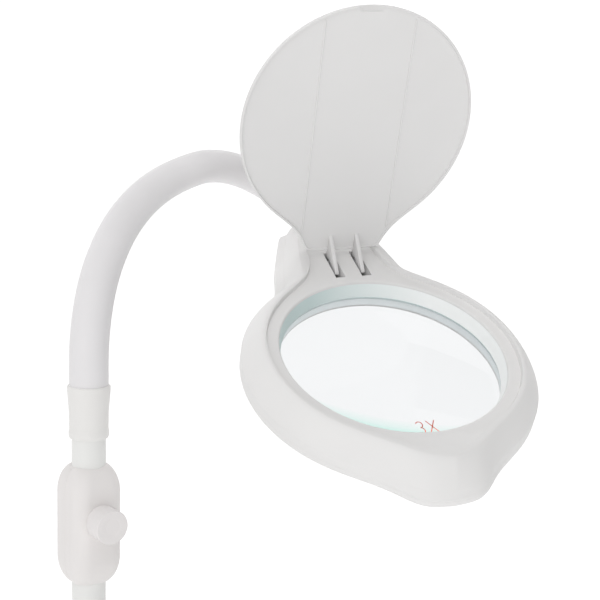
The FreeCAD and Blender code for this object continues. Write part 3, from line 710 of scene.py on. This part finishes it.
def notch_depth(x, y):
    """A shallow thumb notch at the tip of the inner face."""
    past = -y - NOTCH_START
    across = np.clip((NOTCH_HALF + 0.45 * past - np.abs(x)) / 1.2, 0, 1)
    along = np.clip(past / 0.8, 0, 1)
    return NOTCH_DEPTH * across * along


def cover():
    """The lens cover, drawn closed in its recess and turned open."""
    angles = even_angles(420, cover_edge)
    rim = cover_edge(angles)
    loops = []
    shares = np.concatenate([np.linspace(0.02, 0.9, 12), np.linspace(0.92, 1.0, 12)])
    for share in shares:
        loop = polar_loop(angles, (rim - LIP_INSET) * share, SHEET_LOW)
        loop[:, 2] += notch_depth(loop[:, 0], loop[:, 1])
        loops.append(loop)
    for inset, height in ((1.25, SHEET_LOW - 0.15), (1.15, 0.65), (1.0, 0.52), (0.45, 0.5), (0.15, 0.62),
                          (0.0, 0.95), (0.0, 2.3), (0.12, 2.7), (0.45, 2.98), (1.1, SHEET_HIGH)):
        loop = polar_loop(angles, rim - inset, height)
        if inset >= 0.45 and height < 1:
            dip = notch_depth(loop[:, 0], loop[:, 1]) / NOTCH_DEPTH
            loop[:, 2] += dip * (SHEET_LOW - 0.1 - height)
        loops.append(loop)
    for share in np.linspace(0.97, 0.02, 14):
        loops.append(polar_loop(angles, (rim - 1.1) * share, SHEET_HIGH + SHEET_CROWN * (1 - share ** 2)))
    matrix = HEAD @ OPENING @ Matrix.Translation((COVER_SHIFT, 0, 0))
    sheet = loops_object("cover_sheet", loops, matrix, capped=True, sharp=40)
    extras = []
    knuckle = [(1.6, -1.15, 0), (3.4, -1.15, 0.25), (3.4, 1.15, 0.25), (1.6, 1.15, 0)]
    for side in (-1, 1):
        rib = side * RIB_X
        extras.append(block((rib - RIB_HALF, -60, SHEET_LOW - 0.45), (rib + RIB_HALF, 65.2, SHEET_LOW + 0.2),
                            0.2, matrix))
        extras.append(plate(ARM_OUTLINE, 2.3, 0.3, matrix @ Matrix.Translation((side * ARM_X, 0, 0))))
        turned = Matrix.Translation((side * ARM_X, HINGE_Y, HINGE_Z)) @ Matrix.Rotation(math.pi / 2, 4, "Y")
        extras.append(lathe("knuckle", rounded(knuckle, 3), matrix @ turned, 48))
    join(sheet, extras)
    return place(sheet, "cover", M["cover"], "lens_cover")


# ---- lens ---------------------------------------------------------------------------------------
LENS_RADIUS = 63.5
LENS_CLEAR = 60.3           # radius of the curved faces
LENS_TOP = -10.0            # upper side of the lens rim
LENS_EDGE = 3.0
UPPER_BULGE = 5.5
LOWER_BULGE = 1.6
CLEAR_TINT = (0.846, 0.856, 0.864)
PAINTED_EDGE_GREEN = (0.50, 0.81, 0.73)


def lens_material():
    """Clear glass, with a painted green tint near its edge at the nose that stands in for light bent and
    reflected inside the glass there.
    """
    shader = Shader("lens_glass", 0.0)
    # painted reflection: the glass turns green beyond about 11 cm from a point towards the neck, that is at
    # the nose edge
    shader.colour(shader.blend(shader.distance((25, 54.5, -11.5)), CLEAR_TINT, PAINTED_EDGE_GREEN, 0.1055, 0.1128))
    shader.surface.inputs["Transmission Weight"].default_value = 1.0
    shader.surface.inputs["IOR"].default_value = 1.22
    smear = shader.noise(45.0, 5.0, 0.6)
    shader.roughness(shader.spread(smear, 0.0, 0.035, 0.45, 0.8))
    return shader.material


def sag(radius, clear, bulge):
    """Height of a spherical cap over its rim."""
    curve = (clear ** 2 + bulge ** 2) / (2 * bulge)
    return math.sqrt(curve ** 2 - min(radius, clear) ** 2) - curve + bulge


def lens():
    foot = LENS_TOP - LENS_EDGE
    radii = np.concatenate([np.linspace(0.01, LENS_CLEAR, 40), [LENS_RADIUS - 0.2]])
    upper = [(radius, LENS_TOP + sag(radius, LENS_CLEAR, UPPER_BULGE)) for radius in radii]
    lower = [(radius, foot - sag(radius, LENS_CLEAR, LOWER_BULGE)) for radius in radii[::-1]]
    profile = upper + [(LENS_RADIUS, LENS_TOP - 0.2), (LENS_RADIUS, foot + 0.2)] + lower
    glass = lathe("lens_glass", profile, HEAD, 160, closed=False, sharp=25)
    return place(glass, "head", lens_material(), "lens")


def lens_edge():
    """The ground edge of the lens, grey-green, with a painted glow that stands in for the light that runs
    along inside the glass and lightens the shade in the gap round it.
    """
    shader = Shader("ground_glass_painted_glow", 0.7, 0.2)
    cloud = shader.noise(120.0)
    shader.colour(shader.blend(cloud, (0.44, 0.56, 0.54), (0.52, 0.64, 0.62)))
    # painted glow on the edge, in place of light
    shader.glow(0.8, (0.42, 0.52, 0.52))
    profile = [(63.42, -12.7), (63.42, -10.3), (63.3, -10.3), (63.3, -12.7)]
    band = lathe("lens_ground_edge", profile, HEAD, 128)
    return place(band, "head", shader.material)


def lens_ring():
    """The ring that holds the lens from below, with a skirt down to the diffuser."""
    corners = [(63.4, -13.05, 0.1), (63.4, -15.5, 0.2), (62.1, -15.6, 0.3), (61.95, -19.15, 0.1),
               (61.3, -19.15, 0.1), (61.0, -13.05, 0.15)]
    ring = lathe("lens_holding_ring", rounded(corners, 3), HEAD, 160)
    return place(ring, "head", M["ring"], "lens_retaining_ring")


def seat_band():
    """The milky band round the wall above the lens, with painted light: a painted glow, and painted darker
    green shade towards the neck.
    """
    wall = SEAT_WALL + ((61.66, -1.3),)
    profile = [(radius + 0.2, height) for radius, height in wall]
    profile += [(radius - 0.05, height) for radius, height in wall[::-1]]
    shader = Shader("milky_band_painted_light", 0.5, 0.3)
    # painted shade: darker and greener near a point on the neck side (within 2 to 8.5 cm), lighter further
    # round
    colour = shader.blend(shader.distance((-45, 42, -5)), (0.47, 0.555, 0.55), (0.735, 0.75, 0.745),
                          0.02, 0.085)
    shader.colour(colour)
    # painted glow in the same colour
    shader.link(colour, shader.surface.inputs["Emission Color"])
    shader.glow(0.30)
    shader.bump((shader.noise(1500.0, 2.0), 0.00001))
    return place(lathe("lens_seat_band", profile, HEAD, 160, sharp=40), "head", shader.material)


def strokes(points, width, height, matrix, name):
    """A flat printed line along points on the lens."""
    work = bmesh.new()
    path = [Vector((x, y, 0)) for x, y in points]
    left, right = [], []
    for index, point in enumerate(path):
        ahead = path[min(index + 1, len(path) - 1)] - path[max(index - 1, 0)]
        side = Vector((-ahead.y, ahead.x, 0)).normalized() * width / 2
        left.append(work.verts.new((point + side + Vector((0, 0, height)))))
        right.append(work.verts.new((point - side + Vector((0, 0, height)))))
    for index in range(len(path) - 1):
        work.faces.new((left[index], left[index + 1], right[index + 1], right[index]))
    return finished(work, name, matrix)


MARK_Y = -50.2              # middle of the printed figure
MARK_Z = -8.55
MARK_HALF = 4.2             # half its height
DIGIT_X, DIGIT_HALF = -2.9, 1.75
CROSS_X, CROSS_HALF = 3.7, 2.3


def magnification_mark():
    """The plain power figure printed on the lens, 3 times."""
    lines = []
    bowl = MARK_HALF / 2
    for middle, first, last in ((bowl, 150, -91), (-bowl, 90, -151)):
        arc = [math.radians(angle) for angle in range(first, last, -15)]
        lines.append([(DIGIT_X + DIGIT_HALF * math.cos(turn), MARK_Y + middle + bowl * math.sin(turn))
                      for turn in arc])
    for tilt in (-CROSS_HALF, CROSS_HALF):
        lines.append([(CROSS_X - tilt, MARK_Y - MARK_HALF), (CROSS_X + tilt, MARK_Y + MARK_HALF)])
    ink = Shader("printed_ink_painted_glow", 0.5)
    ink.colour(ink.blend(ink.noise(900.0), (0.62, 0.16, 0.11), (0.72, 0.24, 0.17)))
    # painted glow, so that the print inside the glass shows as if lit
    ink.glow(0.55, (0.62, 0.10, 0.06))
    pieces = [strokes(line, 0.55, MARK_Z, HEAD, "mark_stroke") for line in lines]
    mark = join(pieces[0], pieces[1:])
    mark.name = "power_mark"
    return place(mark, "head", ink.material)


# ---- flexible neck ------------------------------------------------------------------------------
SLEEVE_RADIUS = 9.75
CORE_RADIUS = 6.0           # the steel hose inside, with its ripple
RIPPLE = 0.22
RIPPLE_RATE = 2300          # radians per metre
HOSE_END = (0, 104, -9.5)   # the hose ends here inside the head
BENDS = [Vector(JOINTS["gooseneck_bend_%d" % index]["pos_m"]) for index in range(1, 11)]


def hose_path(rings):
    """Places and directions along the neck, in ten stretches that meet midway between the flex points."""
    start = Vector((0, 0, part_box("gooseneck_sleeve_root")[0].z))
    finish = HEAD @ Vector(HOSE_END)
    step = (BENDS[1] - BENDS[0]).length / 2
    middles = [BENDS[0] + (start - BENDS[0]).normalized() * step]
    middles += [(first + second) / 2 for first, second in zip(BENDS, BENDS[1:])]
    middles.append(BENDS[-1] + (finish - BENDS[-1]).normalized() * step)
    shares = [0.0, 0.002] + [(ring + 0.5) / rings for ring in range(rings)] + [0.998, 1.0]
    stretches = []
    for bend, near, far in zip(BENDS, middles, middles[1:]):
        points = []
        for t in shares:
            point = (1 - t) ** 2 * near + 2 * t * (1 - t) * bend + t * t * far
            points.append((point, ((1 - t) * (bend - near) + t * (far - bend)).normalized()))
        stretches.append(points)
    first = (middles[0] - start) / 8
    last = (finish - middles[-1]) / 8
    stretches[0] = [(start + first * index, first.normalized()) for index in range(8)] + stretches[0]
    stretches[-1] += [(middles[-1] + last * index, last.normalized()) for index in range(1, 9)]
    return stretches, middles


def tube_loops(stretches, around, radius_at):
    """Loops round the path with no twist, in the same stretches."""
    side = Vector((1, 0, 0))
    turns = np.linspace(0, 2 * math.pi, around, endpoint=False)
    grouped = []
    travelled = 0.0
    before = stretches[0][0][0]
    for stretch in stretches:
        loops = []
        for point, tangent in stretch:
            side = (side - tangent * side.dot(tangent)).normalized()
            other = tangent.cross(side)
            travelled += (point - before).length
            before = point
            radius = radius_at(travelled)
            loops.append([point + (side * math.cos(turn) + other * math.sin(turn)) * radius
                          for turn in turns])
        grouped.append(loops)
    return grouped


def rippled(travelled):
    return (CORE_RADIUS + RIPPLE * math.sin(travelled * RIPPLE_RATE)) * MM


def flexible_neck():
    """The sleeve and the steel hose in it, in ten stretches that each bend over one joint."""
    stretches, middles = hose_path(26)
    sleeve_loops = tube_loops(stretches, 72, lambda travelled: SLEEVE_RADIUS * MM)
    core_loops = tube_loops(hose_path(96)[0], 28, rippled)
    names = ["root"] + [str(index) for index in range(1, 10)]
    for index in range(10):
        nodes = [names[index]] if index < 9 else [names[index], "end"]
        for kind, loops, material in (("sleeve", sleeve_loops, M["sleeve"]),
                                      ("core", core_loops, M["steel"])):
            grid = np.array([[tuple(point) for point in loop] for loop in loops[index]])
            piece = loops_object("neck_%s_%d" % (kind, index + 1), grid, Matrix.Identity(4))
            piece.data.materials.append(material)
            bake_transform(piece)
            replaced = ["gooseneck_%s_%s" % (kind, name) for name in nodes]
            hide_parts(*replaced)


def collar():
    """The stepped ferrule where the neck leaves the pole."""
    low, high = (corner.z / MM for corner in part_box("gooseneck_collar"))
    corners = [(8.52, low, 0.2), (9.6, low, 0.5), (10.0, low + 1.2, 0.8), (10.0, low + 3.0, 1.2),
               (9.75, low + 5.0, 3.0), (9.85, low + 13, 8.0), (10.75, high - 2.2, 1.2),
               (10.75, high - 0.6, 0.5), (10.3, high, 0.35), (9.7, high + 0.1, 0.1), (9.7, high - 13, 0),
               (8.52, high - 13, 0)]
    ferrule = lathe("neck_collar", rounded(corners), WORLD_MM, 96)
    return place(ferrule, "mast", M["collar"], "gooseneck_collar")


# ---- pole and clamp block -----------------------------------------------------------------------
CROWN = 14.5                # height of the block's domed ends
CROWN_INSET = 7.4           # how far they draw in
BLOCK_HALF_WIDTH = 13.6
BLOCK_HALF_DEPTH = 14.1
BLOCK_CORNER = 8.4
BLOCK_CENTRE = (0.3, 0.7)
SPLIT_GAP = 0.06            # each shell ends this far from the split plane
KNOB_SETBACK = 2.6


def rounded_rectangle(half_width, half_depth, corner, steps=14):
    points = []
    for quarter, (sign_x, sign_y) in enumerate(((1, 1), (-1, 1), (-1, -1), (1, -1))):
        for step in range(steps + 1):
            angle = math.radians(90 * quarter + 90 * step / steps)
            points.append((sign_x * (half_width - corner) + corner * math.cos(angle),
                           sign_y * (half_depth - corner) + corner * math.sin(angle)))
    return points


def clamp_block():
    """Pill-shaped block in two shells that meet in a fine seam."""
    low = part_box("clamp_front_shell")[0].z / MM
    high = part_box("clamp_front_shell")[1].z / MM
    heights = [low + CROWN * (1 - math.cos(math.radians(turn))) for turn in np.linspace(0, 90, 16)]
    heights += [high - (height - low) for height in reversed(heights)]
    loops = []
    for height in heights:
        rise = min(height - low, high - height, CROWN)
        shrink = CROWN_INSET * (1 - math.sqrt(max(1 - ((CROWN - rise) / CROWN) ** 2, 0)))
        plan = rounded_rectangle(BLOCK_HALF_WIDTH - shrink, BLOCK_HALF_DEPTH - shrink * 1.1,
                                 BLOCK_CORNER - shrink * 0.35)
        loops.append([(x + BLOCK_CENTRE[0], y + BLOCK_CENTRE[1], height) for x, y in plan])
    turn = math.atan2(KNOB_AXIS.y, KNOB_AXIS.x) + math.pi / 2
    matrix = Matrix.Rotation(turn, 4, "Z") @ WORLD_MM
    for name, node, side in (("block_front", "clamp_front_shell", -1), ("block_rear", "clamp_rear_shell", 1)):
        shell = loops_object(name, loops, Matrix.Identity(4), capped=True, sharp=40)
        work = bmesh.new()
        work.from_mesh(shell.data)
        everything = work.verts[:] + work.edges[:] + work.faces[:]
        cut = bmesh.ops.bisect_plane(work, geom=everything, plane_co=(0, side * SPLIT_GAP, 0),
                                     plane_no=(0, -side, 0), clear_outer=True)
        rim = [item for item in cut["geom_cut"] if isinstance(item, bmesh.types.BMEdge)]
        bmesh.ops.contextual_create(work, geom=rim)
        bmesh.ops.recalc_face_normals(work, faces=work.faces)
        work.to_mesh(shell.data)
        work.free()
        shell.data.transform(matrix)
        shade(shell, 40)
        place(shell, "stand", M["block"], node)


def knob():
    """The clamp knob, a plain drum with a dished face."""
    corners = [(3.0, 0.4, 0), (8.0, 0.4, 0.3), (8.45, 1.2, 0.3), (8.45, 12.6, 0.55), (5.0, 12.6, 1.0),
               (4.0, 12.45, 1.0), (0.01, 12.45, 0)]
    out = KNOB_AXIS.to_track_quat("Z", "Y").to_matrix().to_4x4()
    matrix = Matrix.Translation(KNOB_SEAT) @ out @ WORLD_MM @ Matrix.Translation((0, 0, -KNOB_SETBACK))
    turned = lathe("clamp_hand_knob", rounded(corners), matrix, 112, closed=False)
    return place(turned, "knob", M["knob"], "clamp_knob")


# ---- base ---------------------------------------------------------------------------------------
def base():
    """The base cover: a low dome with a short sleeve round the pole and a hole for the power inlet."""
    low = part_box("base_cover")[0].z / MM
    outer = [(113.0, low, 0.4), (115.0, low + 3, 2.0), (115.0, low + 10.5, 2.5), (111.5, low + 14.4, 3.0),
             (98, low + 16.2, 25.0), (32, 23.6, 14.0), (17.0, 27.0, 4.0), (14.5, 36.0, 1.2),
             (8.55, 36.0, 0.3)]
    inner = [(8.55, 30, 0), (13.0, 30, 0), (13.0, 22.5, 0), (28, 21.3, 0), (106, 16.0, 0), (112.5, 13, 0),
             (112.5, low, 0)]
    shell = lathe("base_shell", rounded(outer + inner, 8), WORLD_MM, 192, sharp=30)
    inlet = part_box("dc_inlet")
    middle = (inlet[0] + inlet[1]) / 2
    turn = Matrix.Translation((0, middle.y, middle.z)) @ Matrix.Rotation(math.pi / 2, 4, "X") @ WORLD_MM
    carve(shell, [lathe("drill", [(0.001, -15), (4.55, -15), (4.55, 15), (0.001, 15)], turn, 64)])
    return place(shell, "stand", M["base"], "base_cover")


# ---- CAD nodes that keep their own shape --------------------------------------------------------
KEPT = {
    "steel": ("head_screws", "hinge_pin", "hose_end_fitting", "hose_lock_nut", "clamp_nut", "clamp_bolt",
              "base_screws", "pole_socket"),
    "gasket": ("lens_gasket",), "board": ("led_board",),
    "phosphor": ("led_chips",), "frost": ("light_diffuser",), "driver": ("driver_board",),
    "black": ("switch_body", "dc_inlet"), "button": ("switch_button",),
    "pole": ("pole_upper_tube", "pole_lower_tube"), "block": ("clamp_nut_cap",), "nylon": ("swivel_washer",),
    "iron": ("base_weight",), "plate": ("base_bottom_plate",), "foam": ("base_pad",),
}


def finish_kept_nodes():
    """Materials for the CAD nodes that are shown as they are."""
    for material, names in KEPT.items():
        for name in names:
            node = NODES[name]
            node.data.materials.clear()
            node.data.materials.append(M[material])
            shade(node, 30)


# ---- studio, in metres --------------------------------------------------------------------------
SHEET_HALF_WIDTH = 6.0
SHEET_FRONT = -4.0
SHEET_CURVE_START = 1.8
SHEET_CURVE = 1.6
SHEET_TOP = 6.0
ROOM_LEVEL = 0.472
ROOM_GRADIENT = (-0.33, -0.47, -0.16)
LAMP_SIZE = 0.6
LAMP_AIM = (0.12, 0, 0.36)
LAMPS = (                   # name, place, watts
    ("key", (0.1, -1.6, 0.6), 1.8),
    ("high", (0.3, -1.1, 1.5), 2.2),
    ("top", (0.2, -0.2, 1.8), 5.3),
    ("rear_left", (-1.1, 0.9, 1.2), 2.2),
    ("rear_right", (0.5, 1.3, 1.7), 1.8),
)


def camera():
    """Eight degrees down, level with the head, turned so that the pole stands upright at the left."""
    pitch, roll = math.radians(8), math.radians(1.355)
    right = Vector((1, 0, 0))
    up = Vector((0, math.sin(pitch), math.cos(pitch)))
    back = Vector((0, -math.cos(pitch), math.sin(pitch)))
    turned_right = right * math.cos(roll) + up * math.sin(roll)
    turned_up = up * math.cos(roll) - right * math.sin(roll)
    data = bpy.data.cameras.new("camera")
    data.lens = 75.6
    data.sensor_width = 36.0
    obj = bpy.data.objects.new("camera", data)
    bpy.context.scene.collection.objects.link(obj)
    obj.matrix_world = (Matrix.Translation((0.1039, -0.6138, 0.4446))
                        @ Matrix((turned_right, turned_up, back)).transposed().to_4x4())
    bpy.context.scene.camera = obj


def stage_material():
    """White paper that is bright of itself, so that it stays white round the lamp."""
    shader = Shader("studio_paper", 0.9, 0.1)
    shader.colour(shader.blend(shader.noise(3.0), (0.29, 0.29, 0.29), (0.31, 0.31, 0.31)))
    shader.glow(0.84, (1, 1, 1))
    return shader.material


def world_light():
    """Soft room light that is strongest from the front left and fades out towards the rear right."""
    world = bpy.data.worlds.new("studio")
    world.use_nodes = True
    tree = world.node_tree
    toward = tree.nodes.new("ShaderNodeTexCoord").outputs["Generated"]
    facing = tree.nodes.new("ShaderNodeVectorMath")
    facing.operation = "DOT_PRODUCT"
    facing.inputs[1].default_value = ROOM_GRADIENT
    tree.links.new(toward, facing.inputs[0])
    level = tree.nodes.new("ShaderNodeMath")
    level.inputs[1].default_value = ROOM_LEVEL
    level.use_clamp = True
    tree.links.new(facing.outputs["Value"], level.inputs[0])
    tree.links.new(level.outputs[0], tree.nodes["Background"].inputs["Strength"])
    tree.nodes["Background"].inputs["Color"].default_value = (1, 1, 1, 1)
    bpy.context.scene.world = world


def studio():
    """A white sheet that curves up behind, soft room light and five weak lamps."""
    rows = []
    for x in (-SHEET_HALF_WIDTH, SHEET_HALF_WIDTH):
        row = [(x, SHEET_FRONT, 0), (x, SHEET_CURVE_START, 0)]
        for step in range(1, 17):
            angle = math.radians(90 * step / 16)
            row.append((x, SHEET_CURVE_START + SHEET_CURVE * math.sin(angle),
                        SHEET_CURVE - SHEET_CURVE * math.cos(angle)))
        row.append((x, SHEET_CURVE_START + SHEET_CURVE, SHEET_TOP))
        rows.append(row)
    count = len(rows[0])
    faces = [(index, index + 1, count + index + 1, count + index) for index in range(count - 1)]
    sheet = make_object("studio_floor", rows[0] + rows[1], faces, Matrix.Identity(4))
    sheet.data.materials.append(stage_material())
    world_light()
    bpy.context.scene.view_settings.view_transform = "Standard"
    for name, location, power in LAMPS:
        lamp(name, location, power)


def lamp(name, location, power):
    """A square soft lamp, not itself seen in reflections or through the lens."""
    data = bpy.data.lights.new(name, "AREA")
    data.size = LAMP_SIZE
    data.energy = power
    obj = bpy.data.objects.new(name, data)
    bpy.context.scene.collection.objects.link(obj)
    obj.location = location
    obj.visible_glossy = False
    obj.visible_transmission = False
    obj.rotation_euler = (Vector(LAMP_AIM) - Vector(location)).to_track_quat("-Z", "Y").to_euler()


# ---- making -------------------------------------------------------------------------------------
camera()
studio()
finish_kept_nodes()
head_top()
head_bottom()
cover()
lens()
lens_edge()
seat_band()
lens_ring()
magnification_mark()
flexible_neck()
collar()
clamp_block()
knob()
base()
